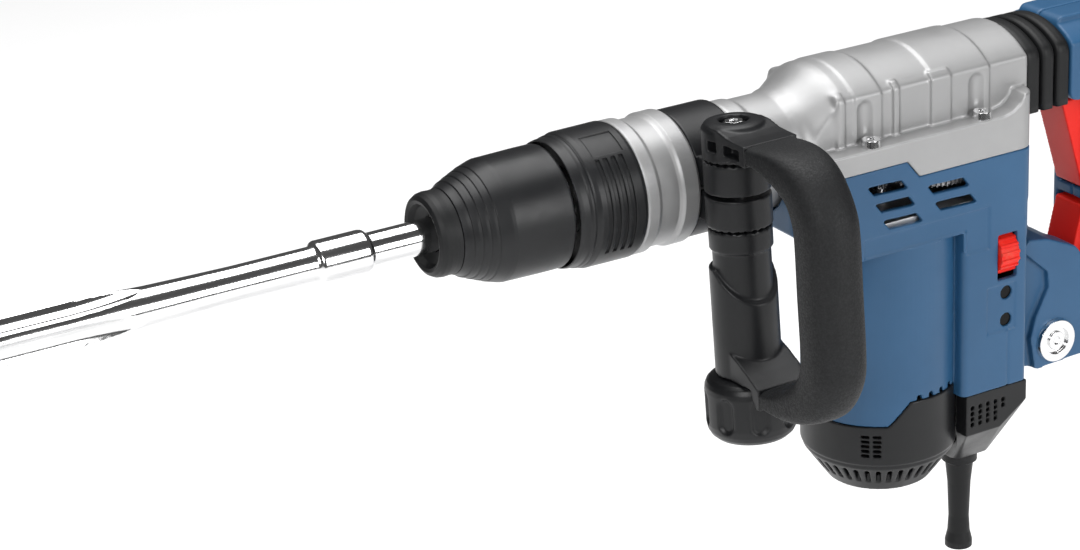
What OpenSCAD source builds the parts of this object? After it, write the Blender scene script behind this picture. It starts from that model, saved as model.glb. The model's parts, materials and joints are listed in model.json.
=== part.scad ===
// Demolition hammer with slotted-shank chisel, D-shaped side handle and hinged rear handle.
// Frame: X runs along the hammer axis, tool to -X; Z is up; the origin is the tool mouth.

/* [Tool] */
// visible length of the chisel in front of the mouth, mm
chisel_reach = 317; // [260:1:340]
// diameter of the chisel bar, mm
bar_d = 18.6; // [16:0.2:20]
/* [Side handle] */
// distance from the clamp bolt to the middle of the grip, mm
handle_reach = 79; // [74:1:90]
// thickness of the side grip, mm
side_grip_d = 33; // [29:0.5:35]
/* [Rear handle] */
// half width of the rear grip, mm
grip_half_w = 17; // [15.5:0.5:19]
/* [Quality] */
// segments of the large round parts
fine = 72; // [48:8:96]
/* [Part] */
// which piece to draw

/* [Hidden] */

shank_r = 9;
// flutes of the chisel: radius, height and tilt of the cutter, and where it starts
flute_r = 8.4;
flute_off = 19.55;
flute_tilt = 2.86;
flute_x = -140;
motor_x = 283;
crank_x = 316;
crank_r = 13;
bolt_x = 159;
bolt_y = -49;
hub_r = 17.4;
// the clamp band is drawn turned a little round the neck, degrees
band_lean = -4;
pivot_x = 384;
pivot_z = -145.5;
house_x1 = 358;
// rear ends of the roof and of the lower motor housing
roof_x1 = 361;
motor_x1 = 354.5;
wall_y = 33;
body_y = 44.5;
arch_r = 48.4;
arch_z = -5;
can_r = 44;
// flat sides of the motor housing, front of its rear box and the ledge over the can
side_y = 44.1;
box_x0 = 309;
ledge_z = -58.5;
// the two windows beside the speed wheel
window_x = 339.5;
window_z = [-101.2, -117.7];
rocker_x = 432;
rocker_z = -70;
grip_y = bolt_y - handle_reach;
// middle heights of the two arms of the side handle, and where the grip starts
arm_top = 28;
arm_low = -103.5;
grip_start = bolt_y - 33;
arm_half_w = 16.2;
// lower end of the column of the side handle
column_end = -99.2;
sleeve_x = 341;
wheel_z = -78.5;
silver = [0.74, 0.75, 0.76];
blue = [0.22, 0.40, 0.56];
black = [0.10, 0.10, 0.11];
steel = [0.62, 0.62, 0.64];
red = [0.80, 0.13, 0.12];
copper = [0.75, 0.42, 0.20];

// turns a profile of [radius, x] points about the hammer axis
module turned(points) {
  rotate([0, 90, 0])
    rotate_extrude($fn = fine)
      polygon(points);
}

// tube along X
module tube_x(x0, x1, ri, ro) {
  turned([[ri, x0], [ro, x0], [ro, x1], [ri, x1]]);
}

// turns a profile of [radius, z] points about a vertical axis
module upright(x, y, points) {
  translate([x, y, 0])
    rotate_extrude($fn = fine)
      polygon(points);
}

module tube_z(x, y, z0, z1, ri, ro) {
  upright(x, y, [[ri, z0], [ro, z0], [ro, z1], [ri, z1]]);
}

// prism along X over a section drawn in Y and Z
module along_x(x0, x1) {
  translate([x0, 0, 0])
    rotate([90, 0, 90])
      linear_extrude(x1 - x0)
        children();
}

// prism along Y over a section drawn in X and Z
module along_y(y0, y1) {
  translate([0, y1, 0])
    rotate([90, 0, 0])
      linear_extrude(y1 - y0)
        children();
}

// upright prism over a section drawn in X and Y
module along_z(z0, z1) {
  translate([0, 0, z0])
    linear_extrude(z1 - z0)
      children();
}

// pin along Y
module pin_y(x, z, y0, y1, r) {
  translate([x, y1, z])
    rotate([90, 0, 0])
      cylinder(r = r, h = y1 - y0, $fn = 40);
}

module box(x0, x1, y0, y1, z0, z1) {
  translate([x0, y0, z0])
    cube([x1 - x0, y1 - y0, z1 - z0]);
}

module both_sides() {
  children();
  mirror([0, 1, 0])
    children();
}

// rectangle with round corners, drawn in the plane
module round_rect(x0, x1, y0, y1, r) {
  offset(r = r, $fn = 32)
    translate([x0 + r, y0 + r])
      square([x1 - x0 - 2 * r, y1 - y0 - 2 * r]);
}

// upper section of the hammer housing, grown or shrunk by d
module arch_section(d) {
  offset(r = 3, $fn = 24)
    offset(delta = -3)
      intersection() {
        translate([0, arch_z])
          circle(r = arch_r + d, $fn = 120);
        translate([-wall_y - d, -8])
          square([2 * (wall_y + d), 70]);
      }
}

// ---- hammer housing -------------------------------------------------------
module housing_outer() {
  // stepped roof bands
  along_x(238, 246)
    arch_section(-0.6);
  along_x(245, 262)
    arch_section(0);
  along_x(262, 297.5)
    arch_section(-0.8);
  along_x(297, 334)
    arch_section(0);
  along_x(334, roof_x1)
    arch_section(-1);
  // shoulder between neck and roof
  intersection() {
    along_x(205, 240)
      arch_section(-0.8);
    turned([[0, 209], [31, 209], [33, 218], [36.4, 224], [40.2, 230], [43.4, 236], [47, 246],
      [0, 246]]);
  }
  // pilasters on the side walls
  for (x = [[232.5, 5], [269.5, 4], [294.5, 13]])
    along_x(x[0], x[0] + x[1])
      intersection() {
        arch_section(0.8);
        translate([-60, -2])
          square([120, 36]);
      }
  // flange and skirt
  intersection() {
    along_y(-body_y, body_y)
      polygon([[208, 4], [336, 4], [342, 5.4], [347, 9], [350, 13.6], [house_x1, 14],
        [house_x1, -18], [279, -18], [271, -8], [208, -8]]);
    along_z(-20, 16)
      round_rect(208, house_x1, -body_y, body_y, 10);
  }
  // neck
  turned([[24.5, 90], [27, 90], [27, 145.8], [31, 145.8], [31, 178], [32.4, 178.6],
    [32.4, 188], [31.2, 190], [31.2, 214], [33, 214], [33, 225], [24.5, 225]]);
}

module hammer_housing() {
  color(silver)
    difference() {
      housing_outer();
      // room for the crank drive
      intersection() {
        along_x(228, 354)
          arch_section(-5);
        turned([[0, 228], [32, 228], [45, 240], [60, 260], [60, 360], [0, 360]]);
      }
      along_z(-30, 1)
        round_rect(238, 354, -40, 40, 7);
      turned([[0, 80], [24.5, 80], [24.5, 230], [0, 230]]);
      // half-round channels over the flange screws
      both_sides()
        for (x = [251, 325])
          translate([x, -38.4, 4]) {
            cylinder(r = 7.6, h = 19, $fn = 40);
            translate([0, 0, 19])
              sphere(r = 7.6, $fn = 40);
            translate([0, 0, -13])
              cylinder(r = 2.6, h = 14, $fn = 24);
          }
    }
}

module housing_screws() {
  color(steel)
    both_sides()
      for (x = [251, 325])
        translate([x, -38.4, 4])
          difference() {
            union() {
              cylinder(r1 = 5.6, r2 = 5, h = 4, $fn = 32);
              translate([0, 0, -12])
                cylinder(r = 2.55, h = 12.2, $fn = 24);
            }
            translate([0, 0, 1.6])
              cylinder(r = 2.3, h = 5, $fn = 6);
          }
}

module silver_collar() {
  color(silver)
    turned([[27.05, 112.8], [35.6, 112.8], [36.2, 113.8], [36.2, 119.6], [35.4, 121],
      [34.7, 121.4], [34.4, 122.2], [34.4, 132.6], [35, 134], [36, 135.6], [36, 143.8],
      [34.8, 145.4], [27.05, 145.4]]);
}

module guide_tube() {
  color(steel)
    turned([[8.4, 114], [24.45, 114], [24.45, 124], [19, 124], [19, 196], [24.45, 196],
      [24.45, 206], [18, 206], [18, 268], [14, 268], [14, 120], [8.4, 120]]);
}

module front_bushing() {
  color([0.72, 0.55, 0.30])
    tube_x(93, 108, 18.05, 24.45);
}

module shaft_seal() {
  color(black)
    tube_x(90.4, 92.8, 18.05, 24.45);
}

// ---- motor housing --------------------------------------------------------
module motor_outer() {
  // block under the skirt, and the flat-sided rear box
  intersection() {
    along_y(-side_y, side_y)
      polygon([[200, -8.2], [270.8, -8.2], [278.8, -18.2], [house_x1, -18.2],
        [house_x1, -46], [motor_x1, -50], [motor_x1, -158], [box_x0, -158],
        [box_x0, ledge_z], [238, ledge_z], [222, -52], [200, -36]]);
    union() {
      along_z(-70, 0)
        round_rect(200, house_x1, -side_y, side_y, 9);
      along_z(-160, ledge_z - 1)
        round_rect(box_x0, motor_x1, -side_y, side_y, 4);
    }
  }
  // round can
  translate([motor_x, 0, -165])
    cylinder(r = can_r, h = 113, $fn = 96);
  // lug that carries the rear handle
  along_y(-19.6, 19.6)
    difference() {
      union() {
        translate([pivot_x, pivot_z])
          circle(r = 14, $fn = 48);
        polygon([[352, -112], [pivot_x + 6, -133], [pivot_x - 2, -159.3], [352, -157.8]]);
      }
      translate([pivot_x, pivot_z])
        circle(r = 5.05, $fn = 40);
    }
}

// the region below the lower edge of the motor housing, moved down by gap
module cover_zone(gap) {
  translate([0, 0, -gap])
    along_y(-60, 60)
      polygon([[180, -240], [180, -164.5], [262, -164.5], [274, -150.7], [box_x0 - 0.5, -150.7],
        [box_x0 - 0.5, -158], [390, -158], [390, -240]]);
}

// one slanted air slot, drawn in X and Z
module vent(x, z, w) {
  translate([x, z])
    polygon([[0, 0], [w, -0.6], [w + 4.5, -6.4], [4.5, -5.6]]);
}

module motor_cavity() {
  // gear space above the ledge
  along_z(-46, 0)
    round_rect(238, 354, -40.6, 40.6, 7);
  along_z(-55.5, -45)
    round_rect(241, 351, -40.6, 40.6, 7);
  translate([motor_x, 0, -170])
    cylinder(r = can_r - 3.2, h = 120, $fn = 96);
  // electronics space behind the can
  along_z(-161, -54)
    round_rect(box_x0 + 3, 351, -40.6, 40.6, 3);
  box(300, box_x0 + 8, -30, 30, -161, -54);
  // room for the neck, the guide tube and the round bottom cover
  tube_x(190, 225.1, 0, 33.05);
  tube_x(190, 245, 0, 24.6);
  intersection() {
    cover_zone(0);
    translate([motor_x, 0, -170])
      cylinder(r = can_r + 0.65, h = 20, $fn = 96);
  }
  // front belly
  along_y(-38, 38)
    polygon([[206, -10], [240, -10], [242, -55], [224, -48], [206, -33]]);
}

module motor_housing() {
  color(blue)
    difference() {
      motor_outer();
      motor_cavity();
      cover_zone(0);
      // slots on both sides
      both_sides()
        along_y(-50, -39) {
          for (k = [0:2])
            vent(244.5 + 5 * k, -17 - 10.6 * k, 22.5);
          for (k = [0:1])
            vent(284 + 5 * k, -25 - 10.6 * k, 24.5);
        }
      // small notches of the lower edge
      both_sides()
        for (x = [278, 286, 294, 302])
          box(x, x + 3, -50, -25, -151.7, -147.8);
      // pocket of the speed wheel
      box(332.9, 346.1, -50, -34, wheel_z - 14, wheel_z + 13);
      // shallow panel around the two windows
      both_sides()
        box(325.5, 345.6, -50, 0.8 - side_y, -124, -95.4);
      // seats of the two windows
      for (z = window_z)
        pin_y(window_x, z, -50, -35, 4);
      // screw seats
      both_sides()
        for (x = [251, 325])
          translate([x, -38.4, -22])
            cylinder(r = 2.65, h = 20, $fn = 24);
      // panel grooves
      both_sides() {
        box(242, 327, -46, 0.9 - side_y, -58, -46.5);
        box(340.1, 341.3, -46, 1.2 - side_y, -158, -124);
        box(311, 327, -46, 0.9 - side_y, -72, -57.9);
      }
    }
}

module gear_plate() {
  color([0.66, 0.67, 0.68])
    difference() {
      along_z(-50, -42)
        round_rect(243, 350.8, -40.2, 40.2, 8);
      translate([motor_x, 0, -60])
        cylinder(r = 13.0, h = 30, $fn = 48);
      translate([crank_x, 0, -60])
        cylinder(r = 11.0, h = 30, $fn = 48);
    }
}

module bearing_z(x, z0, z1, ri, ro) {
  mid = (ri + ro) / 2;
  upright(x, 0, [[ri, z0], [mid - 1, z0], [mid - 1, z0 + 0.8], [mid + 1, z0 + 0.8], [mid + 1, z0],
    [ro, z0], [ro, z1], [mid + 1, z1], [mid + 1, z1 - 0.8], [mid - 1, z1 - 0.8],
    [mid - 1, z1], [ri, z1]]);
}

module upper_bearing() {
  color(steel)
    bearing_z(motor_x, -50, -42, 5.02, 12.98);
}

module crank_bearing() {
  color(steel)
    bearing_z(crank_x, -50, -42, 5.02, 10.98);
}

module lower_bearing() {
  color(steel)
    bearing_z(motor_x, -184, -177, 4.02, 10.98);
}

module stator() {
  color([0.35, 0.35, 0.37])
    difference() {
      translate([motor_x, 0, -130])
        cylinder(r = can_r - 3.25, h = 50, $fn = 96);
      translate([motor_x, 0, -131])
        cylinder(r = 24, h = 52, $fn = 72);
      for (a = [45:90:315])
        translate([motor_x, 0, -131])
          rotate(a)
            translate([37, -4, 0])
              cube([8, 8, 52]);
    }
}

module stator_windings() {
  color(copper)
    for (z = [-138, -79.9])
      upright(motor_x, 0, [[26, z], [35, z], [37, z + 2], [37, z + 7.9], [26, z + 7.9]]);
}

module electronics_module() {
  color(black)
    union() {
      box(330, 350.6, -32, 32, -150, -97);
      // bracket and axle of the speed wheel
      box(346.6, 350.6, -38, -30, -98, wheel_z + 4);
      translate([333.5, -34.6, wheel_z])
        rotate([0, 90, 0])
          cylinder(r = 2, h = 14, $fn = 24);
    }
}

module indicator_lenses() {
  color([0.05, 0.06, 0.07])
    for (z = window_z)
      pin_y(window_x, z, -42, -36, 3.95);
}

module speed_wheel() {
  color(red)
    difference() {
      translate([333.4, -34.6, wheel_z])
        rotate([0, 90, 0])
          union() {
            cylinder(r = 12.2, h = 12.2, $fn = 64);
            for (a = [0:20:340])
              rotate(a)
                translate([12, -0.8, 0])
                  cube([0.9, 1.6, 12.2]);
          }
      translate([333, -34.6, wheel_z])
        rotate([0, 90, 0])
          cylinder(r = 2.06, h = 14, $fn = 24);
    }
}

module brush_holders() {
  color([0.78, 0.62, 0.30])
    for (s = [0, 180])
      translate([motor_x, 0, 0])
        rotate(90 + s)
          difference() {
            translate([16, -5, -156])
              cube([22, 10, 12]);
            translate([15, -3.5, -154])
              cube([22, 7, 8]);
          }
}

module carbon_brushes() {
  color([0.16, 0.16, 0.17])
    for (s = [0, 180])
      translate([motor_x, 0, 0])
        rotate(90 + s)
          translate([13.4, -3.45, -153.95])
            cube([16, 6.9, 7.9]);
}

// ---- lower covers ---------------------------------------------------------
module bottom_cover() {
  color(black)
    difference() {
      union() {
        difference() {
          intersection() {
            upright(motor_x, 0, [[0, -150.7], [can_r + 0.6, -150.7], [can_r + 0.6, -188],
              [can_r - 0.6, -189], [can_r - 0.6, -191], [30, -210], [0, -210]]);
            cover_zone(0.3);
          }
          upright(motor_x, 0, [[0, -140], [can_r - 3, -140], [can_r - 3, -188], [28, -206],
            [0, -206]]);
        }
        // seat of the lower bearing
        tube_z(motor_x, 0, -207, -177, 11, 15);
      }
      // outlet box space
      box(312, 370, -50, 50, -200, -140);
      // grille slots
      both_sides()
        for (k = [0:4])
          for (a = [-135.6, -127])
            translate([motor_x, 0, -171.6 - 2.9 * k])
              rotate(a)
                translate([36, -2.5, 0])
                  cube([14, 5, 1.7]);
      // slots of the taper
      for (a = [45:9:315])
        translate([motor_x, 0, -203])
          rotate(a)
            translate([34, -1.3, 0])
              cube([12, 2.6, 10]);
    }
}

module outlet_shell(d) {
  hull() {
    along_y(-side_y + 0.4 + d, side_y - 0.4 - d)
      polygon([[312.2 + d, -158.3 + d], [motor_x1 - d, -158.3 + d], [motor_x1 - d, -170],
        [336 - d, -182.6], [312.2 + d, -182.6]]);
    along_z(-214 + d, -200)
      round_rect(327.8 + d, 354.2 - d, -13.2 + d, 13.2 - d, 6);
  }
}

module cable_outlet() {
  color(black)
    difference() {
      outlet_shell(0);
      outlet_shell(3);
      // keeps clear of the round cover
      translate([motor_x, 0, -230])
        cylinder(r = can_r + 0.65, h = 90, $fn = 96);
      translate([sleeve_x, 0, -230])
        cylinder(r = 8.05, h = 30, $fn = 40);
      // side slots
      both_sides()
        for (k = [0:4])
          for (z = [-177.8, -174.4, -171, -167.6])
            if (k < 4 || z > -174)
              box(315.3 + 5.4 * k, 317.7 + 5.4 * k, -50, -30, z, z + 2.7);
    }
}

module cable_sleeve() {
  color(black)
    upright(sleeve_x, 0, [[4.6, -206], [9.6, -206], [9.6, -210.5], [8, -210.5], [8, -214.4],
      [10.4, -214.4], [10.4, -221], [8.2, -222.6], [6.8, -236], [6, -258], [6.6, -268], [8, -274],
      [8, -277.6], [4.6, -277.6]]);
}

module cable_clamp() {
  color(black)
    difference() {
      box(sleeve_x - 8, sleeve_x + 8, -9.8, 9.8, -204, -196);
      translate([sleeve_x, 0, -210])
        cylinder(r = 4.7, h = 20, $fn = 32);
    }
}

// ---- crank drive ----------------------------------------------------------
module toothed(teeth, pitch_r, depth, h) {
  union() {
    cylinder(r = pitch_r - depth / 2, h = h, $fn = teeth * 2);
    for (k = [0:teeth - 1])
      rotate(360 * k / teeth)
        linear_extrude(h)
          polygon([[pitch_r - depth, -0.62], [pitch_r + depth / 2, -0.34],
            [pitch_r + depth / 2, 0.34], [pitch_r - depth, 0.62]]);
  }
}

module crank_gear() {
  color(steel)
    translate([crank_x, 0, 0])
      union() {
        translate([0, 0, -36])
          toothed(60, 27.2, 1.8, 9);
        translate([0, 0, -27.2])
          cylinder(r = 20, h = 8.2, $fn = 64);
        translate([0, 0, -52])
          cylinder(r = 5, h = 17, $fn = 40);
      }
}

module motor_shaft() {
  color(steel)
    translate([motor_x, 0, 0])
      union() {
        translate([0, 0, -38])
          rotate(180 / 10)
            toothed(10, 4.6, 1.8, 13);
        translate([0, 0, -140])
          cylinder(r = 5, h = 102.1, $fn = 40);
        translate([0, 0, -188])
          cylinder(r = 4, h = 48.1, $fn = 40);
      }
}

module armature() {
  color([0.42, 0.40, 0.38])
    difference() {
      union() {
        tube_z(motor_x, 0, -128, -82, 5.02, 23.3);
        tube_z(motor_x, 0, -136, -127.9, 5.02, 18);
        tube_z(motor_x, 0, -82.1, -74, 5.02, 18);
      }
      for (a = [0:30:330])
        translate([motor_x, 0, -129])
          rotate(a)
            translate([21.6, -0.8, 0])
              cube([3, 1.6, 48]);
    }
}

module commutator() {
  color(copper)
    difference() {
      tube_z(motor_x, 0, -158, -142, 4.02, 13.2);
      for (a = [0:15:345])
        translate([motor_x, 0, -157])
          rotate(a)
            translate([12.5, -0.3, 0])
              cube([2, 0.6, 14]);
    }
}

module fan() {
  color([0.15, 0.15, 0.16])
    translate([motor_x, 0, -66])
      union() {
        difference() {
          cylinder(r = 33, h = 2, $fn = 64);
          translate([0, 0, -1])
            cylinder(r = 5.02, h = 4, $fn = 40);
        }
        difference() {
          cylinder(r = 9, h = 10, $fn = 40);
          translate([0, 0, -1])
            cylinder(r = 5.02, h = 12, $fn = 40);
        }
        for (a = [0:24:336])
          rotate(a)
            translate([18, -0.8, 1.9])
              cube([14.5, 1.6, 8]);
      }
}

module piston() {
  color(steel)
    difference() {
      turned([[0, 222], [13.95, 222], [13.95, 226], [12.4, 226], [12.4, 229], [13.95, 229],
        [13.95, 262], [10, 262], [10, 236], [0, 236]]);
      translate([250, 0, -20])
        cylinder(r = 4.02, h = 40, $fn = 40);
    }
}

module piston_seal() {
  color(black)
    tube_x(226.1, 228.9, 12.42, 13.93);
}

module wrist_pin() {
  color(steel)
    translate([250, 0, -12.5])
      cylinder(r = 4, h = 25, $fn = 40);
}

module con_rod() {
  color(steel)
    difference() {
      union() {
        translate([250, 0, -6])
          cylinder(r = 7.4, h = 12, $fn = 48);
        translate([crank_x - crank_r, 0, -6])
          cylinder(r = 9.5, h = 12, $fn = 48);
        box(254, crank_x - crank_r - 6, -4, 4, -5, 5);
      }
      translate([250, 0, -10])
        cylinder(r = 4.05, h = 20, $fn = 40);
      translate([crank_x - crank_r, 0, -10])
        cylinder(r = 5.02, h = 20, $fn = 40);
    }
}

module crank_pin() {
  color(steel)
    translate([crank_x - crank_r, 0, -18.6])
      cylinder(r = 5, h = 27, $fn = 40);
}

module striker() {
  color(steel)
    turned([[0, 140], [10, 140], [13.95, 144], [13.95, 150], [12.4, 150], [12.4, 153],
      [13.95, 153], [13.95, 190], [0, 190]]);
}

module striker_seal() {
  color(black)
    tube_x(150.1, 152.9, 12.42, 13.93);
}

module impact_bolt() {
  color(steel)
    turned([[0, 87.3], [9.6, 87.3], [11, 88.7], [11, 111.6], [8.3, 112.4], [8.3, 128], [0, 128]]);
}

// ---- tool holder ----------------------------------------------------------
module tool_holder() {
  color(steel)
    difference() {
      turned([[shank_r + 0.06, 8], [16, 8], [16, 80], [18, 80], [18, 110], [11.06, 110],
        [11.06, 84.2], [shank_r + 0.06, 84.2]]);
      // windows of the locking rollers
      for (s = [0, 180])
        rotate([s, 0, 0])
          translate([37.8, -3.66, 0])
            cube([14.4, 7.32, 20]);
    }
}

module lock_rollers() {
  color(steel)
    for (s = [-1, 1])
      translate([38, 0, s * 10.4])
        rotate([0, 90, 0])
          cylinder(r = 3.6, h = 14, $fn = 32);
}

module dust_cap() {
  color(black)
    turned([[9.5, 6], [9.5, 7.9], [16.05, 7.9], [16.05, 12.2], [22.4, 12.2], [22.2, 9.4],
      [22.4, 6], [22, 3.4], [20.8, 1.2], [18.8, 0], [16.8, 0.8], [15, 3.6]]);
}

module locking_sleeve() {
  color(black)
    turned([[16.1, 12.6], [22.6, 12.6], [23.8, 15.4], [24.6, 17], [25.2, 17.2], [26.1, 19.6],
      [26.4, 21.2], [27, 21.4], [27.8, 23.6], [28.1, 25.2], [28.6, 25.4], [29.4, 27.6],
      [29.7, 29.2], [30.2, 29.4], [32.2, 36], [32.6, 38], [33, 60], [33, 70.5], [32.6, 71.5],
      [30.6, 71.5], [30.6, 58], [16.1, 58], [16.1, 52], [29.4, 52], [28.6, 43], [25, 31],
      [21, 20], [16.1, 20]]);
}

module coil(mean_r, wire_r, length, turns) {
  linear_extrude(length, twist = -360 * turns, slices = 14 * turns)
    translate([mean_r, 0])
      scale([1, 1.9])
        circle(r = wire_r, $fn = 8);
}

module sleeve_spring() {
  color(steel)
    translate([58.2, 0, 0])
      rotate([0, 90, 0])
        coil(18.2, 1.1, 21.6, 5);
}

module position_ring() {
  color(black)
    difference() {
      turned([[33.35, 73.5], [34, 74], [34.4, 76], [34.6, 79.4], [35.2, 80.4], [35.4, 81.6],
        [35, 82.6], [35.6, 83.4], [36.4, 85.6], [36.6, 110.6], [35.8, 112.4], [31, 112.4], [31, 88],
        [18.1, 88], [18.1, 83.6], [33.35, 83.6]]);
      for (s = [0, 180])
        rotate([s, 0, 0]) {
          // grip grooves
          for (k = [0:3])
            ring_arc(89.2 + 4.6 * k, 2.4, 35.5, -36, 50);
          // sunk label fields
          ring_arc(89, 18, 35.9, 53, 77);
        }
    }
}

// cut on the ring: from x over width w, down to radius r, between two angles from -Y towards +Z
module ring_arc(x, w, r, from, to) {
  rotate([0, 90, 0])
    translate([0, 0, x])
      rotate(-90 - to)
        rotate_extrude(angle = to - from, $fn = fine)
          translate([r, 0])
            square([4, w]);
}

// ---- chisel ---------------------------------------------------------------
module chisel() {
  tip = -chisel_reach;
  // start of the taper to the point
  taper_x = tip + 85;
  color(steel)
    difference() {
      turned([[0, tip], [1.2, tip], [5, tip + 20], [10.2, tip + 58], [11.6, taper_x - 4],
        [12, taper_x + 8], [12, -190], [11.2, -168], [10.3, -150], [9.7, -125], [bar_d / 2, -105],
        [bar_d / 2, -61.5], [10.6, -60.5], [11.6, -59.5], [11.6, -34], [10.8, -32], [shank_r, -31],
        [shank_r, 82], [shank_r - 1, 83], [0, 83]]);
      // four concave flutes that run out towards the bar
      for (a = [15:90:285])
        rotate([a, 0, 0]) {
          translate([flute_x, 0, flute_off])
            rotate([0, -90 - flute_tilt, 0])
              cylinder(r = flute_r, h = chisel_reach - 120, $fn = 48);
        }
      // closed locking grooves
      for (s = [0, 180])
        rotate([s, 0, 0])
          along_x(26, 66)
            translate([-3.75, 6.6])
              square([7.5, 6]);
      // open drive grooves
      for (s = [90, 270])
        rotate([s, 0, 0])
          along_x(40, 90)
            translate([-2.5, 6.4])
              square([5, 6]);
    }
}

// ---- side handle ----------------------------------------------------------
// turns the clamp band and its handle round the neck
module lean() {
  rotate([band_lean, 0, 0])
    children();
}

// ring of radial teeth, used between the hubs
module tooth_ring(z, h) {
  for (a = [0:15:345])
    translate([bolt_x, bolt_y, z])
      rotate(a)
        translate([9.5, -1, 0])
          cube([7.2, 2, h]);
}

// cylinder about the clamp bolt
module about_bolt(z0, z1, r) {
  translate([bolt_x, bolt_y, z0])
    cylinder(r = r, h = z1 - z0, $fn = 64);
}

module clamp_band() {
  color(black)
    lean()
      difference() {
        union() {
          tube_x(146.2, 175.6, 31.05, 34.6);
          about_bolt(-17.2, -1.2, hub_r);
          about_bolt(1.2, 17.2, hub_r);
          box(146.4, 175.2, bolt_y + 8, -31.3, -17.2, -1.2);
          box(146.4, 175.2, bolt_y + 8, -31.3, 1.2, 17.2);
          tooth_ring(17.1, 1);
          tooth_ring(-18.1, 1);
        }
        tube_x(140, 180, 0, 31.05);
        about_bolt(-30, 30, 4.06);
        // clamping slit
        box(140, 180, -70, -20, -1.2, 1.2);
      }
}

module clamp_bolt() {
  color(steel)
    lean()
      difference() {
        union() {
          about_bolt(-112, 34, 4);
          about_bolt(33.2, 36.2, 6.6);
          translate([bolt_x, bolt_y, 36.1])
            cylinder(r = 5.2, h = 1.5, $fn = 6);
        }
        translate([bolt_x, bolt_y, 35.4])
          cylinder(r = 2.6, h = 4, $fn = 6);
      }
}

// prism across the handle over a section drawn in Y and Z
module handle_plate(half_w) {
  along_x(bolt_x - half_w, bolt_x + half_w)
    children();
}

// tongue that holds one end of the grip
module grip_tongue(z, gap) {
  box(bolt_x - 9 - gap, bolt_x + 9 + gap, grip_start - 12 - gap, grip_start + 1 + gap, z - 3 - gap,
    z + 3 + gap);
}

module side_arm() {
  color(black)
    lean()
      difference() {
        union() {
          upright(bolt_x, bolt_y, [[0, 19], [hub_r, 19], [hub_r, 34.5], [15.4, 37.4], [12, 38.4],
            [0, 38.4]]);
          tooth_ring(18.4, 0.7);
          handle_plate(arm_half_w)
            polygon([[bolt_y, 20], [bolt_y - 12, 20.4], [bolt_y - 19, arm_top - 5.4],
              [grip_start, arm_top - 5.5], [grip_start, arm_top + 5.5], [bolt_y - 24, 34],
              [bolt_y - 17, 35], [bolt_y - 8, 37.4], [bolt_y, 37.4]]);
          grip_tongue(arm_top, 0);
        }
        about_bolt(0, 60, 4.06);
        // seat of the bolt head
        about_bolt(33, 60, 8);
        // windows in the front side of the arm
        for (w = [[-7, 7], [-28, 15]])
          box(140, bolt_x - 10, bolt_y + w[0], bolt_y + w[0] + w[1], 24.8, 30.4);
      }
}

module side_frame() {
  color(black)
    lean()
      difference() {
        union() {
          // inner column
          tooth_ring(-19.1, 0.7);
          about_bolt(-30, -19, hub_r - 0.6);
          about_bolt(-62, -29, 15.4);
          // saddle around the column, cut off at a slant
          difference() {
            about_bolt(column_end, -40, hub_r + 0.3);
            handle_plate(30)
              polygon([[bolt_y + 1, -30], [bolt_y + 1, -40], [bolt_y - 25, -65], [bolt_y - 25, -30]]);
          }
          // ramp down to the lower arm
          handle_plate(arm_half_w)
            polygon([[bolt_y, -81], [bolt_y - 14, -86.6], [bolt_y - 23.5, -92],
              [grip_start, arm_low + 5.5], [grip_start, arm_low - 5.5],
              [grip_start + 3, arm_low - 5.5], [bolt_y - 26.4, -103.4],
              [bolt_y - 25.4, column_end], [bolt_y, column_end]]);
          grip_tongue(arm_low, 0);
        }
        about_bolt(-120, 0, 4.06);
      }
}

// thin cross-section of the grip: place, turn about X, height and width
module grip_station(y, z, turn, h, w) {
  translate([bolt_x, y, z])
    rotate([turn, 0, 0])
      rotate([90, 0, 0])
        linear_extrude(0.4, center = true)
          offset(r = 5, $fn = 32)
            scale([(w - 10) / (h - 10), 1])
              circle(d = h - 10, $fn = 32);
}

module grip_link(a, b) {
  hull() {
    grip_station(a[0], a[1], a[2], a[3], a[4]);
    grip_station(b[0], b[1], b[2], b[3], b[4]);
  }
}

module side_grip() {
  d = side_grip_d;
  // stations from the upper arm to the lower arm: y, z, turn, height, width
  line = [[grip_start - 0.4, arm_top, 0, 11.4, 32.6], [grip_y + 29, arm_top - 1.6, 8, 17, 32.2],
    [grip_y + 9, 17.4, 45, d - 4, 31.8], [grip_y, -4, 88, d, 31.4], [grip_y, -72, 92, d, 31.4],
    [grip_y + 9, -92.8, 135, d - 4, 31.8], [grip_y + 29, arm_low + 1.6, 172, 17, 32.2],
    [grip_start - 0.4, arm_low, 180, 11.4, 32.6]];
  color(black)
    lean()
      difference() {
        for (k = [0:6])
          grip_link(line[k], line[k + 1]);
        for (z = [arm_top, arm_low])
          grip_tongue(z, 0.02);
      }
}

module clamp_knob() {
  color(black)
    lean()
      difference() {
        upright(bolt_x, bolt_y, [[0, -99.6], [17.5, -99.6], [21.4, -101], [23.6, -104],
          [24.4, -108], [24.4, -126], [22.6, -132], [18, -135.4], [0, -136.4]]);
        about_bolt(-113, -80, 4.06);
        // finger grooves
        for (a = [0:45:315])
          translate([bolt_x, bolt_y, -140])
            rotate(a + 22.5)
              translate([30.4, 0, 0])
                cylinder(r = 8, h = 32, $fn = 32);
      }
}

// ---- rear handle ----------------------------------------------------------
module handle_outline() {
  offset(r = 5, $fn = 24)
    offset(delta = -5)
      polygon([[393, 41.5], [434, 41.5], [450, 35], [461, 18], [465, -4], [466, -60], [463, -104],
        [456, -128], [440, -146], [410, -159], [372, -161], [362, -158], [361, -79],
        [378, -82], [398, -91], [414, -111], [421, -106], [421, -10], [416, -4], [393, -4]]);
}

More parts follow.
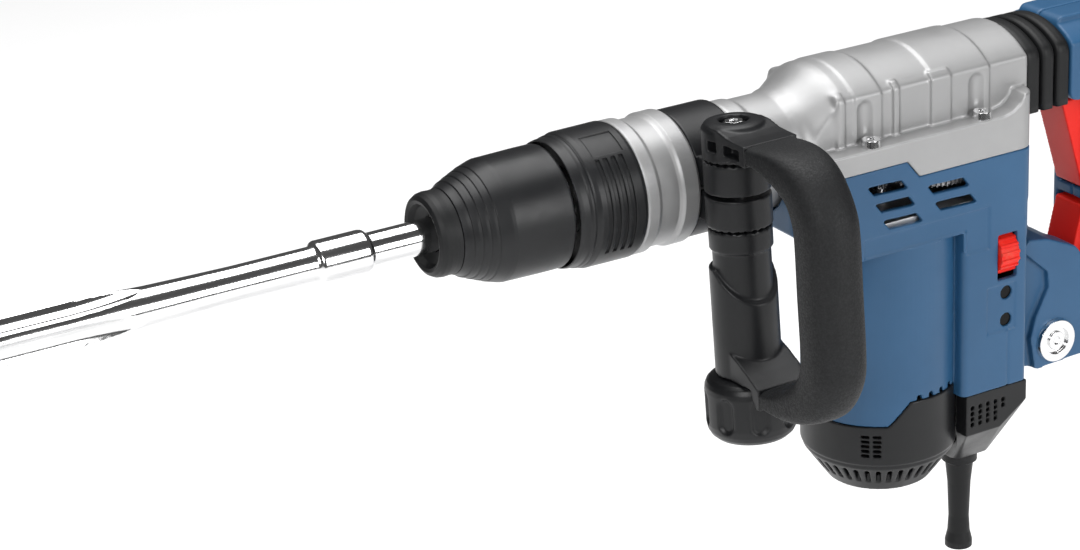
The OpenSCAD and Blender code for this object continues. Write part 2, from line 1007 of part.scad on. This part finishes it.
module handle_half() {
  difference() {
    union() {
      // grip column
      along_y(-grip_half_w, 0)
        handle_outline();
      // wide head behind the bellows
      intersection() {
        along_x(393, 436)
          arch_section(-2.2);
        along_y(-34, 0)
          handle_outline();
      }
      // cheeks beside the motor lug
      along_y(-32, 0)
        intersection() {
          handle_outline();
          translate([355, -170])
            square([62, 94]);
        }
    }
    // stepped front of the cheeks
    along_y(-40, -28)
      polygon([[350, -60], [360, -86], [378, -102], [379, -112], [370, -129], [366.6, -141],
        [369, -155], [371, -170], [350, -170]]);
    // space of the motor lug
    along_y(-20.2, 1)
      polygon([[340, -70], [366, -96], [399, -122], [401, -166], [340, -166]]);
    pin_y(pivot_x, pivot_z, -40, 1, 5.06);
    // rocker pocket with the bridge between the two paddles
    along_y(-12.8, 1)
      difference() {
        polygon([[390, -8], [442, -8], [442, -112], [405, -112], [390, -96]]);
        polygon([[416, -69.2], [424, -69.2], [424, -75.8], [416, -75.8]]);
      }
    pin_y(rocker_x, rocker_z, -15, 1, 2.54);
    // switch room
    along_y(-11, 1)
      polygon([[440, -28], [460, -28], [460, -112], [440, -112]]);
    // spring seat and hollow head
    along_y(-22, 1)
      polygon([[385, 2], [421, 2], [421, 24], [385, 24]]);
  }
}

module rear_handle_left() {
  color(blue)
    translate([0, -0.02, 0])
      handle_half();
}

module rear_handle_right() {
  color(blue)
    mirror([0, 1, 0])
      translate([0, -0.02, 0])
        handle_half();
}

module switch_rocker() {
  color(red)
    difference() {
      along_y(-12, 12)
        offset(r = 1.2, $fn = 16)
          offset(delta = -1.2)
            polygon([[402, -11], [436, -11], [438, -66], [438, -74], [436, -106], [411.4, -107.6],
              [419, -78], [426, -78], [426, -67], [419, -67], [406, -24]]);
      pin_y(rocker_x, rocker_z, -20, 20, 2.54);
    }
}

module rocker_pin() {
  color(steel)
    pin_y(rocker_x, rocker_z, -14.8, 14.8, 2.5);
}

module switch_module() {
  color(black)
    box(442.5, 459, -10.5, 10.5, -100, -40);
}

module pivot_pin() {
  color(steel)
    pin_y(pivot_x, pivot_z, -30, 30, 5);
}

module pivot_caps() {
  color(silver)
    both_sides()
      translate([pivot_x, -32.1, pivot_z])
        rotate([90, 0, 0])
          difference() {
            cylinder(r1 = 13.2, r2 = 12.4, h = 2.6, $fn = 64);
            translate([0, 0, 0.9])
              difference() {
                cylinder(r = 8, h = 4, $fn = 48);
                cylinder(r = 5.4, h = 1.2, $fn = 40);
              }
            translate([0, 0, 1])
              cylinder(r = 2.6, h = 4, $fn = 6);
          }
}

module handle_spring() {
  color(steel)
    translate([roof_x1 + 0.3, 0, 13])
      rotate([0, 90, 0])
        coil(8, 1.3, 59, 8);
}

module bellows() {
  color(black)
    difference() {
      union() {
        for (x = [[0.1, 10.4], [12.2, 20.6], [22.4, 31.6]])
          along_x(roof_x1 + x[0], roof_x1 + x[1])
            arch_section(-2.4);
        along_x(roof_x1 + 0.1, roof_x1 + 31.6)
          arch_section(-5.4);
      }
      along_x(roof_x1 - 1, roof_x1 + 33)
        arch_section(-8);
      box(350, 400, -60, 60, -20, -5);
    }
}

hammer_housing();
silver_collar();
motor_housing();
bottom_cover();
cable_outlet();
cable_sleeve();
housing_screws();
gear_plate();
guide_tube();
front_bushing();
shaft_seal();
stator();
stator_windings();
lower_bearing();
upper_bearing();
crank_bearing();
brush_holders();
carbon_brushes();
electronics_module();
indicator_lenses();
bellows();
tool_holder();
dust_cap();
lock_rollers();
locking_sleeve();
sleeve_spring();
position_ring();
chisel();
impact_bolt();
striker();
striker_seal();
piston();
piston_seal();
wrist_pin();
con_rod();
crank_pin();
crank_gear();
motor_shaft();
armature();
commutator();
fan();
clamp_band();
clamp_bolt();
side_arm();
side_frame();
side_grip();
clamp_knob();
rear_handle_left();
rear_handle_right();
switch_rocker();
rocker_pin();
switch_module();
pivot_pin();
pivot_caps();
handle_spring();
speed_wheel();
cable_clamp();
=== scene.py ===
import bpy
import bmesh
import json
import math
from mathutils import Matrix, Vector, noise

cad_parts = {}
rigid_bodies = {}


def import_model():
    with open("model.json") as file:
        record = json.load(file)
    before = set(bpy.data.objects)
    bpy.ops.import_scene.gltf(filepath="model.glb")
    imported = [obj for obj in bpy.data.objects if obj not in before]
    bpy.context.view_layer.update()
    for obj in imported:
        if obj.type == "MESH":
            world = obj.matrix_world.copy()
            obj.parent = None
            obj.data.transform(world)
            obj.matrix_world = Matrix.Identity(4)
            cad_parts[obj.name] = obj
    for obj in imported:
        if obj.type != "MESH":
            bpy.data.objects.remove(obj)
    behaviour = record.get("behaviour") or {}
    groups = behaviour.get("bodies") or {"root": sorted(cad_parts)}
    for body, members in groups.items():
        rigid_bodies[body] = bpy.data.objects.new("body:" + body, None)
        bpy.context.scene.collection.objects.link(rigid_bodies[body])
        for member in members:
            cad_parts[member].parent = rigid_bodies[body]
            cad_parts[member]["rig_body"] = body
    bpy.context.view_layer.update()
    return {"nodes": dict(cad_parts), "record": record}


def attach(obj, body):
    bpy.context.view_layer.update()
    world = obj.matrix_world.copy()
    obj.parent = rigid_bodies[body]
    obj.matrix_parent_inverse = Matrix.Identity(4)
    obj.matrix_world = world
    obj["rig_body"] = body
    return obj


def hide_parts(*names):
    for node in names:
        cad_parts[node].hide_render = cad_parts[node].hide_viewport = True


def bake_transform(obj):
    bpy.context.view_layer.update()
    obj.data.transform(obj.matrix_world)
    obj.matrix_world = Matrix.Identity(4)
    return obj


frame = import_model()
NODES = frame["nodes"]
BODY_OF = {n: o["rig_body"] for n, o in NODES.items()}
SLOT_OF = {s["node"]: s["material_slot"] for s in frame["record"]["subparts"]}
MM = 0.001


# ---------------------------------------------------------------- materials
class Graph:
    """A small helper that adds and links shader nodes."""

    def __init__(self, name):
        self.mat = bpy.data.materials.new(name)
        self.mat.use_nodes = True
        self.tree = self.mat.node_tree
        self.tree.nodes.clear()
        self.out = self.add("ShaderNodeOutputMaterial")
        self.bsdf = self.add("ShaderNodeBsdfPrincipled")
        self.link(self.bsdf, "BSDF", self.out, "Surface")
        self.coord = self.add("ShaderNodeTexCoord")

    def add(self, kind, **props):
        n = self.tree.nodes.new(kind)
        for k, v in props.items():
            setattr(n, k, v)
        return n

    def link(self, a, out, b, inp):
        self.tree.links.new(a.outputs[out], b.inputs[inp])

    def noise(self, scale, detail=3.0, rough=0.55, stretch=None):
        n = self.add("ShaderNodeTexNoise")
        n.inputs["Scale"].default_value = scale
        n.inputs["Detail"].default_value = detail
        n.inputs["Roughness"].default_value = rough
        if stretch:
            m = self.add("ShaderNodeMapping")
            m.inputs["Scale"].default_value = stretch
            self.link(self.coord, "Object", m, "Vector")
            self.link(m, "Vector", n, "Vector")
        else:
            self.link(self.coord, "Object", n, "Vector")
        return n

    def voronoi(self, scale):
        n = self.add("ShaderNodeTexVoronoi")
        n.inputs["Scale"].default_value = scale
        self.link(self.coord, "Object", n, "Vector")
        return n

    def ramp(self, src, out, stops):
        n = self.add("ShaderNodeValToRGB")
        e = n.color_ramp.elements
        while len(e) < len(stops):
            e.new(0.5)
        for i, (p, c) in enumerate(stops):
            e[i].position = p
            e[i].color = c if len(c) == 4 else (*c, 1)
        self.link(src, out, n, "Fac")
        return n

    def map_range(self, src, out, a, b, c, d):
        n = self.add("ShaderNodeMapRange")
        for k, v in zip(("From Min", "From Max", "To Min", "To Max"), (a, b, c, d)):
            n.inputs[k].default_value = v
        self.link(src, out, n, "Value")
        return n

    def mix(self, fac, fac_out, a, b, mode="MIX"):
        """a and b are colours or (node, output)."""
        n = self.add("ShaderNodeMix", data_type="RGBA", blend_type=mode)
        if fac is None:
            n.inputs[0].default_value = fac_out
        else:
            self.link(fac, fac_out, n, 0)
        for sock, v in ((6, a), (7, b)):
            if isinstance(v, tuple) and hasattr(v[0], "outputs"):
                self.tree.links.new(v[0].outputs[v[1]], n.inputs[sock])
            else:
                n.inputs[sock].default_value = (*v, 1)
        return n

    def bump(self, src, out, strength, distance, prev=None):
        n = self.add("ShaderNodeBump")
        n.inputs["Strength"].default_value = strength
        n.inputs["Distance"].default_value = distance
        self.link(src, out, n, "Height")
        if prev is not None:
            self.link(prev, "Normal", n, "Normal")
        return n

    def bevel(self, radius):
        n = self.add("ShaderNodeBevel", samples=6)
        n.inputs["Radius"].default_value = radius
        return n


def surface(name, base, second, rough, metallic=0.0, grain=1400.0, grain_depth=0.00006,
            grain_strength=0.35, wear=None, coat=0.0, cloud=18.0, bevel=0.0006,
            streak=None, specular=0.5, aniso=0.0):
    """A general painted, moulded or machined surface with grain, clouds, wear and rounded edges."""
    g = Graph(name)
    clouds = g.noise(cloud, 4.0, 0.6)
    tint = g.mix(g.map_range(clouds, "Fac", 0.3, 0.7, 0.0, 1.0), "Result", base, second)
    last = (tint, 2)
    if streak:
        s = g.noise(streak[0], 5.0, 0.6, streak[1])
        shade = g.ramp(s, "Fac", [(0.30, (streak[2],) * 3), (0.7, (1.0, 1.0, 1.0))])
        last = (g.mix(None, 1.0, last, (shade, "Color"), "MULTIPLY"), 2)
    if wear:
        geo = g.add("ShaderNodeNewGeometry")
        scuff = g.noise(95.0, 5.0, 0.7)
        edge = g.map_range(geo, "Pointiness", 0.52, 0.60, 0.0, 1.0)
        patch = g.map_range(scuff, "Fac", 0.50, 0.72, 0.0, 1.0)
        both = g.add("ShaderNodeMath", operation="MULTIPLY")
        g.link(edge, "Result", both, 0)
        g.link(patch, "Result", both, 1)
        last = (g.mix(both, "Value", last, wear), 2)
    g.tree.links.new(last[0].outputs[last[1]], g.bsdf.inputs["Base Color"])
    fine = g.noise(grain, 2.0, 0.5)
    smudge = g.noise(42.0, 4.0, 0.65)
    r = g.map_range(smudge, "Fac", 0.25, 0.75, rough[0], rough[1])
    g.link(r, "Result", g.bsdf, "Roughness")
    prev = g.bevel(bevel) if bevel else None
    b = g.bump(fine, "Fac", grain_strength, grain_depth, prev)
    if streak:
        b = g.bump(s, "Fac", 0.25, 0.00004, b)
    g.link(b, "Normal", g.bsdf, "Normal")
    g.bsdf.inputs["Metallic"].default_value = metallic
    g.bsdf.inputs["Specular IOR Level"].default_value = specular
    if aniso:
        g.bsdf.inputs["Anisotropic"].default_value = aniso
    if coat:
        g.bsdf.inputs["Coat Weight"].default_value = coat
        g.bsdf.inputs["Coat Roughness"].default_value = 0.12
    return g.mat


def leather_grip(name):
    """Soft grip skin: small raised cells over black rubber."""
    g = Graph(name)
    cells = g.voronoi(900.0)
    mottle = g.noise(420.0, 5.0, 0.7)
    tint = g.mix(g.map_range(mottle, "Fac", 0.35, 0.65, 0.0, 1.0), "Result",
                 (0.0035, 0.0038, 0.0044), (0.008, 0.0085, 0.0095))
    g.link(tint, 2, g.bsdf, "Base Color")
    r = g.map_range(cells, "Distance", 0.0, 0.7, 0.46, 0.66)
    g.link(r, "Result", g.bsdf, "Roughness")
    g.bsdf.inputs["Specular IOR Level"].default_value = 0.32
    b = g.bump(mottle, "Fac", 0.7, 0.0003)
    b = g.bump(cells, "Distance", 0.4, 0.00015, b)
    g.link(b, "Normal", g.bsdf, "Normal")
    return g.mat


MATS = {
    "silver_paint": surface("silver_paint_mat", (0.34, 0.34, 0.342), (0.38, 0.38, 0.382), (0.40, 0.50), 0.55,
                            grain=2600, grain_depth=0.00003, grain_strength=0.22,
                            wear=(0.28, 0.28, 0.29), coat=0.05, bevel=0.0009),
    "blue_plastic": surface("blue_plastic_mat", (0.020, 0.083, 0.180), (0.026, 0.097, 0.205), (0.36, 0.46),
                            grain=2200, grain_depth=0.00004, wear=(0.07, 0.16, 0.27), bevel=0.0009,
                            specular=0.4),
    "black_plastic": surface("black_plastic_mat", (0.0055, 0.0058, 0.0066), (0.0085, 0.0089, 0.010), (0.32, 0.46),
                             grain=1900, grain_depth=0.00006, wear=(0.03, 0.031, 0.034), bevel=0.0008,
                             specular=0.34),
    "black_rubber": surface("black_rubber_mat", (0.005, 0.0052, 0.0058), (0.008, 0.0084, 0.009), (0.42, 0.58),
                            grain=1200, grain_depth=0.00008, wear=(0.02, 0.02, 0.022), bevel=0.0006,
                            specular=0.28),
    "red_plastic": surface("red_plastic_mat", (0.74, 0.014, 0.008), (0.82, 0.020, 0.010), (0.36, 0.46),
                           grain=2000, grain_depth=0.00004, wear=(0.70, 0.08, 0.05), bevel=0.0009,
                           specular=0.25),
    "steel": surface("steel_mat", (0.52, 0.52, 0.53), (0.60, 0.60, 0.61), (0.24, 0.36), 1.0,
                     grain=1500, grain_depth=0.00002, bevel=0.0004, streak=(300.0, (1.0, 0.06, 0.06), 0.8)),
    "ground_steel": surface("ground_steel_mat", (0.82, 0.82, 0.825), (0.90, 0.90, 0.90), (0.09, 0.15), 1.0,
                            grain=900, grain_depth=0.00002, grain_strength=0.15, bevel=0.0004,
                            streak=(420.0, (0.06, 1.0, 1.0), 0.86)),
    "aluminium": surface("aluminium_mat", (0.55, 0.56, 0.57), (0.62, 0.62, 0.63), (0.34, 0.48), 1.0,
                         grain=1100, grain_depth=0.00008),
    "bronze": surface("bronze_mat", (0.42, 0.27, 0.10), (0.52, 0.34, 0.14), (0.30, 0.42), 1.0),
    "copper": surface("copper_mat", (0.52, 0.20, 0.08), (0.62, 0.27, 0.11), (0.28, 0.42), 1.0,
                      grain=800, grain_depth=0.0002, streak=(260.0, (1.0, 1.0, 0.1), 0.5)),
    "lamination": surface("lamination_mat", (0.16, 0.16, 0.165), (0.24, 0.24, 0.245), (0.40, 0.55), 1.0,
                          streak=(900.0, (0.05, 0.05, 1.0), 0.6)),
    "carbon": surface("carbon_mat", (0.02, 0.02, 0.021), (0.035, 0.035, 0.036), (0.45, 0.6)),
    "window": surface("window_mat", (0.002, 0.002, 0.002), (0.004, 0.004, 0.004), (0.20, 0.30),
                      grain=900, grain_depth=0.00001, specular=0.15),
    "leather_grip": leather_grip("leather_grip_mat"),
}


# ---------------------------------------------------------------- mesh tools
def add_mesh(name, verts, faces, smooth=True):
    me = bpy.data.meshes.new(name)
    me.from_pydata(verts, [], faces)
    me.validate()
    o = bpy.data.objects.new(name, me)
    bpy.context.scene.collection.objects.link(o)
    bm = bmesh.new()
    bm.from_mesh(me)
    bmesh.ops.recalc_face_normals(bm, faces=bm.faces)
    bm.to_mesh(me)
    bm.free()
    for p in me.polygons:
        p.use_smooth = smooth
    return o


def finish_piece(o, node, mat=None, also=(), replace=True, body=None):
    slot = SLOT_OF[node]
    o.data.materials.clear()
    o.data.materials.append(MATS[mat or slot])
    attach(o, body or BODY_OF[node])
    if replace:
        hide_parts(node, *also)
    return o


def apply_modifiers(o):
    dg = bpy.context.evaluated_depsgraph_get()
    dg.update()
    me = bpy.data.meshes.new_from_object(o.evaluated_get(dg))
    o.modifiers.clear()
    old = o.data
    o.data = me
    bpy.data.meshes.remove(old)
    return o


def refine(node, voxel=0.8, rounds=3, keep=0.5, mat=None, name=None):
    """A finer skin of a CAD node whose sharp edges are rounded like cast or moulded ones."""
    src = NODES[node]
    me = src.data.copy()
    o = bpy.data.objects.new(name or node + "_skin", me)
    bpy.context.scene.collection.objects.link(o)
    bm = bmesh.new()
    bm.from_mesh(me)
    bmesh.ops.remove_doubles(bm, verts=bm.verts, dist=1e-6)
    bm.to_mesh(me)
    bm.free()
    if me.attributes.get("custom_normal"):
        me.attributes.remove(me.attributes["custom_normal"])
    m = o.modifiers.new("remesh", "REMESH")
    m.mode = "VOXEL"
    m.voxel_size = voxel * MM
    m.adaptivity = 0.0
    if rounds:
        s = o.modifiers.new("smooth", "SMOOTH")
        s.factor = 0.5
        s.iterations = rounds
    if keep < 1:
        d = o.modifiers.new("reduce", "DECIMATE")
        d.ratio = keep
    apply_modifiers(o)
    for p in o.data.polygons:
        p.use_smooth = True
    return finish_piece(o, node, mat)


# ---------------------------------------------------------------- pieces
LEAN = Matrix.Rotation(math.radians(-4), 4, "X")
BOLT_X, BOLT_Y = 159.0, -49.0
FLUTE_TURN = math.radians(60)


def grid_mesh(name, rows, closed=True, caps=True):
    """A skin over rows of points in mm; each row goes once round the piece."""
    n = len(rows[0])
    verts = [Vector(p) * MM for row in rows for p in row]
    faces = []
    for i in range(len(rows) - 1):
        for j in range(n if closed else n - 1):
            k = (j + 1) % n
            faces.append((i * n + j, i * n + k, (i + 1) * n + k, (i + 1) * n + j))
    if caps:
        faces.append(tuple(range(n - 1, -1, -1)))
        last = (len(rows) - 1) * n
        faces.append(tuple(range(last, last + n)))
    return add_mesh(name, verts, faces)


def smoothstep(t):
    t = max(0.0, min(1.0, t))
    return t * t * (3 - 2 * t)


def lerp_table(table, x):
    """Smooth value at x from a short list of (x, value)."""
    if x <= table[0][0]:
        return table[0][1]
    for (x0, v0), (x1, v1) in zip(table, table[1:]):
        if x <= x1:
            return v0 + (v1 - v0) * (x - x0) / (x1 - x0)
    return table[-1][1]


def chisel_mesh():
    """Chisel with four ground flutes that run out in pointed ends."""
    outline = [(-317, 1.2), (-297, 5), (-259, 10.2), (-236, 11.6), (-224, 12), (-190, 12), (-168, 11.2),
               (-150, 10.3), (-125, 9.7), (-105, 9.3), (-62, 9.3), (-61, 9.9), (-60, 11.1), (-58.8, 11.6),
               (-34.6, 11.6), (-33, 11.3), (-31.6, 10.2), (-31, 9), (40, 9)]
    cutter, depth, full, end = 8.4, 15.2, -195.0, -154.0
    xs = [-317 + 1.0 * k for k in range(170)] + [-147 + 4.0 * k for k in range(21)]
    xs += [-62.2 + 0.3 * k for k in range(14)] + [-56.5 + 4.0 * k for k in range(6)]
    xs += [-35 + 0.35 * k for k in range(14)] + [-28, -10, 10, 40]
    rows = []
    n = 144
    for x in xs:
        base = lerp_table(outline, x)
        off = depth if x < full else depth + (10.6 + cutter - depth) * ((x - full) / (end - full)) ** 2
        row = []
        for j in range(n):
            t = 2 * math.pi * j / n
            d = (t + FLUTE_TURN) % (math.pi / 2) - math.pi / 4
            r = base
            side = off * math.sin(d)
            if abs(side) < cutter and x < end + 6:
                r = min(r, off * math.cos(d) - math.sqrt(cutter ** 2 - side ** 2))
            row.append((x, r * math.sin(t), r * math.cos(t)))
        rows.append(row)
    o = grid_mesh("chisel_bar", rows)
    return finish_piece(o, "chisel", replace=False)


def sweep_section(cy, cz, turn, h, w, n=48, power=2.6):
    """Rounded section across the grip's path, before the lean."""
    pts = []
    c, s = math.cos(turn), math.sin(turn)
    for j in range(n):
        t = 2 * math.pi * j / n
        u = math.copysign(abs(math.cos(t)) ** (2 / power), math.cos(t)) * w / 2
        v = math.copysign(abs(math.sin(t)) ** (2 / power), math.sin(t)) * h / 2
        pts.append((BOLT_X + u, cy - v * s, cz + v * c))
    return pts


def side_grip_mesh():
    """Soft D grip: flat where it leaves the arms, round in the hand."""
    y0, gy = BOLT_Y - 33.3, BOLT_Y - 79
    line = [(y0, 28, 0, 11.0, 32.2), (y0 - 7, 27.9, 1, 12.2, 32.2), (gy + 29, 26.4, 8, 16.6, 31.9),
            (gy + 18, 22.8, 26, 22.6, 31.6), (gy + 9, 16.4, 46, 27.6, 31.4), (gy + 2.4, 5.6, 72, 31.8, 31.2),
            (gy, -6, 88, 32.6, 31.1), (gy, -38, 90, 32.8, 31.1), (gy, -70, 92, 32.6, 31.1),
            (gy + 2.4, -81.6, 108, 31.8, 31.2), (gy + 9, -92.2, 134, 27.6, 31.4),
            (gy + 18, -98.4, 154, 22.6, 31.6), (gy + 29, -102, 172, 16.6, 31.9),
            (y0 - 7, -103.4, 179, 12.2, 32.2), (y0, -103.5, 180, 11.0, 32.2)]
    rows = []
    m = len(line)
    for i in range(m - 1):
        p = [line[max(i - 1, 0)], line[i], line[i + 1], line[min(i + 2, m - 1)]]
        steps = 10 if 5 < i < 8 else 5
        for k in range(steps if i < m - 2 else steps + 1):
            t = k / steps
            v = []
            for c in range(5):
                a0, a1, a2, a3 = (q[c] for q in p)
                v.append(0.5 * (2 * a1 + (a2 - a0) * t + (2 * a0 - 5 * a1 + 4 * a2 - a3) * t * t
                                + (3 * a1 - a0 - 3 * a2 + a3) * t ** 3))
            y, z, deg, h, w = v
            power = 4.6 - 2.3 * smoothstep((h - 11) / 20)
            rows.append(sweep_section(y, z, math.radians(deg), h, w, 64, power))
    o = grid_mesh("side_grip_skin", rows)
    o.data.transform(LEAN)
    return finish_piece(o, "side_grip", mat="leather_grip")


def knob_mesh():
    """Clamp knob: round body with eight finger grooves that end in round tips."""
    outline = [(-99.7, 4.3), (-99.7, 16.6), (-100.1, 18.6), (-101.2, 21.2), (-102.8, 22.8), (-105.2, 23.9),
               (-108, 24.3), (-126, 24.3), (-129.4, 23.6), (-132, 22.2), (-134.2, 19.8), (-135.5, 16.6),
               (-136.2, 12), (-136.3, 0.4)]
    pts = []
    for (z0, r0), (z1, r1) in zip(outline, outline[1:]):
        steps = max(1, int(math.hypot(z1 - z0, r1 - r0) / 0.5))
        pts += [(z0 + (z1 - z0) * k / steps, r0 + (r1 - r0) * k / steps) for k in range(steps)]
    pts.append(outline[-1])
    rows = []
    n = 192
    top, low, width = -107.0, -128.5, 5.6
    for z, base in pts:
        row = []
        for j in range(n):
            t = 2 * math.pi * j / n
            side = (t % (math.pi / 4) - math.pi / 8) * 24.3
            over = max(z - (top - width), (low + width) - z, 0)
            reach = math.hypot(side, over)
            dent = 1.9 * smoothstep((width - reach) / 2.6) if base > 12 else 0
            r = base - dent * smoothstep((base - 14) / 8)
            row.append((BOLT_X + r * math.cos(t), BOLT_Y + r * math.sin(t), z))
        rows.append(row)
    o = grid_mesh("knob_body", rows)
    o.data.transform(LEAN)
    return finish_piece(o, "clamp_knob")


def soften(o, inside, rounds):
    """Smooths the part of a skin that the given test picks, for cast transitions."""
    bm = bmesh.new()
    bm.from_mesh(o.data)
    picked = [v for v in bm.verts if inside(v.co)]
    for _ in range(rounds):
        bmesh.ops.smooth_vert(bm, verts=picked, factor=0.5, use_axis_x=True, use_axis_y=True, use_axis_z=True)
    bm.to_mesh(o.data)
    bm.free()


def arch_path(d, steps=40):
    """Open outline of the hammer housing's upper section in Y and Z, moved in by d."""
    half, r, zc, zb = 33.0 - d, 48.4 - d, -5.0, -4.9
    round_r = 3.5
    pts = []
    # corner between the wall and the roof
    a_wall = math.acos(half / r)
    z_corner = zc + r * math.sin(a_wall)
    for k in range(8):
        pts.append((-half, zb + (z_corner - round_r * 1.4 - zb) * k / 7))
    a1 = a_wall + round_r * 1.1 / r
    p1 = (-r * math.cos(a1), zc + r * math.sin(a1))
    p0 = pts[-1]
    c = (-half, z_corner)
    for k in range(1, 7):
        t = k / 7
        pts.append(tuple((1 - t) ** 2 * p0[i] + 2 * t * (1 - t) * c[i] + t * t * p1[i] for i in (0, 1)))
    for k in range(steps + 1):
        a_ = a1 + (math.pi - 2 * a1) * k / steps
        pts.append((-r * math.cos(a_), zc + r * math.sin(a_)))
    left = pts[:14]
    pts += [(-y, z) for y, z in reversed(left)]
    return pts


def bellows_mesh():
    """Rubber bellows with three soft folds between the housing and the rear handle."""
    ribs = [(361.2, 5.2), (361.9, 3.0), (363, 2.4), (369.6, 2.4), (370.9, 3.2), (371.8, 6.4), (372.7, 6.6),
            (373.5, 3.4), (374.6, 2.5), (379.8, 2.5), (381, 3.4), (381.8, 6.4), (382.8, 6.6),
            (383.6, 3.4), (384.6, 2.6), (390.6, 2.6), (391.6, 3.2), (392.5, 4.4)]
    rows = []
    for (x0, d0), (x1, d1) in zip(ribs, ribs[1:]):
        for k in range(3):
            x, d = x0 + (x1 - x0) * k / 3, d0 + (d1 - d0) * k / 3
            rows.append([(x, y, z) for y, z in arch_path(d)])
    rows.append([(392.5, y, z) for y, z in arch_path(4.4)])
    inner = [[(x, y, z) for y, z in arch_path(8.0)] for x in (392.5, 377, 361.2)]
    rows += inner + [rows[0]]
    o = grid_mesh("bellows_skin", rows, closed=False, caps=False)
    bm = bmesh.new()
    bm.from_mesh(o.data)
    bmesh.ops.remove_doubles(bm, verts=bm.verts, dist=1e-6)
    bmesh.ops.holes_fill(bm, edges=[e for e in bm.edges if e.is_boundary], sides=0)
    bmesh.ops.triangulate(bm, faces=[f for f in bm.faces if len(f.verts) > 4])
    bmesh.ops.recalc_face_normals(bm, faces=bm.faces)
    bm.to_mesh(o.data)
    bm.free()
    for p in o.data.polygons:
        p.use_smooth = True
    slot = SLOT_OF["bellows"]
    o.data.materials.append(MATS[slot])
    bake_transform(o)
    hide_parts("bellows")
    return o


for node, obj in NODES.items():
    obj.data.materials.clear()
    obj.data.materials.append(MATS[SLOT_OF[node]])

chisel_piece = chisel_mesh()
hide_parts("chisel")
side_grip_mesh()
bellows_mesh()
casting = refine("hammer_housing", 0.7, 3, 0.6)
soften(casting, lambda p: 0.2125 < p.x < 0.2375 and p.z > 0.008 and p.yz.length > 0.029, 40)
refine("motor_housing", 0.6, 2, 0.45)
refine("side_frame", 0.6, 4, 0.5)
refine("side_arm", 0.6, 4, 0.5)
refine("rear_handle_left", 0.8, 4, 0.5)
refine("rear_handle_right", 0.8, 4, 0.5)
refine("switch_rocker", 0.6, 4, 0.4)
refine("bottom_cover", 0.6, 2, 0.5)
refine("cable_outlet", 0.5, 2, 0.5)
knob_mesh()
refine("clamp_band", 0.6, 2, 0.5)

# ---------------------------------------------------------------- stage
def stage_floor():
    """Plain pale floor, wide enough to fill the view."""
    z0 = -0.42
    steps = 24
    verts = [(0.3, 0.4, z0)]
    for k in range(steps):
        t = 2 * math.pi * k / steps
        verts.append((0.3 + 3.4 * math.cos(t), 0.6 + 3.2 * math.sin(t), z0))
    faces = [(0, 1 + k, 1 + (k + 1) % steps) for k in range(steps)]
    o = add_mesh("floor", verts, faces)
    g = Graph("floor_mat")
    n = g.noise(3.0, 3.0)
    t = g.mix(g.map_range(n, "Fac", 0.3, 0.7, 0.0, 1.0), "Result", (0.93, 0.93, 0.93), (0.95, 0.95, 0.95))
    g.link(t, 2, g.bsdf, "Base Color")
    g.bsdf.inputs["Roughness"].default_value = 0.95
    g.bsdf.inputs["Specular IOR Level"].default_value = 0.1
    o.data.materials.append(g.mat)
    return o


stage_floor()

# ---------------------------------------------------------------- camera
CAM_AZ, CAM_EL, CAM_ROLL = math.radians(-29.098), math.radians(22.504), math.radians(-2.839)
SHIFT_MM = (-59.7, 19.3)
CAM_DIST = 1515.0
a, e = CAM_AZ, CAM_EL
back = Vector((math.sin(a) * math.cos(e), -math.cos(a) * math.cos(e), math.sin(e)))
right0 = Vector((math.cos(a), math.sin(a), 0))
up0 = back.cross(right0)
right = right0 * math.cos(CAM_ROLL) + up0 * math.sin(CAM_ROLL)
up = up0 * math.cos(CAM_ROLL) - right0 * math.sin(CAM_ROLL)
cam_data = bpy.data.cameras.new("camera")
cam_data.sensor_width = 36
cam_data.lens = 100.0
cam_data.clip_end = 50
cam = bpy.data.objects.new("camera", cam_data)
bpy.context.scene.collection.objects.link(cam)
place = (back * CAM_DIST - right * SHIFT_MM[0] - up * SHIFT_MM[1]) * MM
rot = Matrix((right, up, back)).transposed().to_4x4()
cam.matrix_world = Matrix.Translation(place) @ rot
bpy.context.scene.camera = cam


# ---------------------------------------------------------------- lights
def area(name, loc, target, size, power, size_y=None, color=(1, 1, 1)):
    d = bpy.data.lights.new(name, "AREA")
    d.shape = "RECTANGLE"
    d.size = size
    d.size_y = size_y or size
    d.energy = power
    d.color = color
    o = bpy.data.objects.new(name, d)
    bpy.context.scene.collection.objects.link(o)
    o.location = loc
    o.rotation_mode = "QUATERNION"
    o.rotation_quaternion = (Vector(target) - Vector(loc)).to_track_quat("-Z", "Y")
    return o


area("top_soft", (0.3, 0.7, 2.5), (0.3, 0.5, 0), 3.0, 112, 2.4)
area("key_left", (-1.6, -1.5, 1.1), (0.1, 0, 0), 1.0, 30)
area("front_soft", (1.0, -2.3, 0.7), (0.25, 0, -0.05), 1.2, 34)
world = bpy.data.worlds.new("world")
world.use_nodes = True
world.node_tree.nodes["Background"].inputs["Color"].default_value = (1, 1, 1, 1)
world.node_tree.nodes["Background"].inputs["Strength"].default_value = 0.08
bpy.context.scene.world = world
bpy.context.scene.view_settings.view_transform = "Standard"
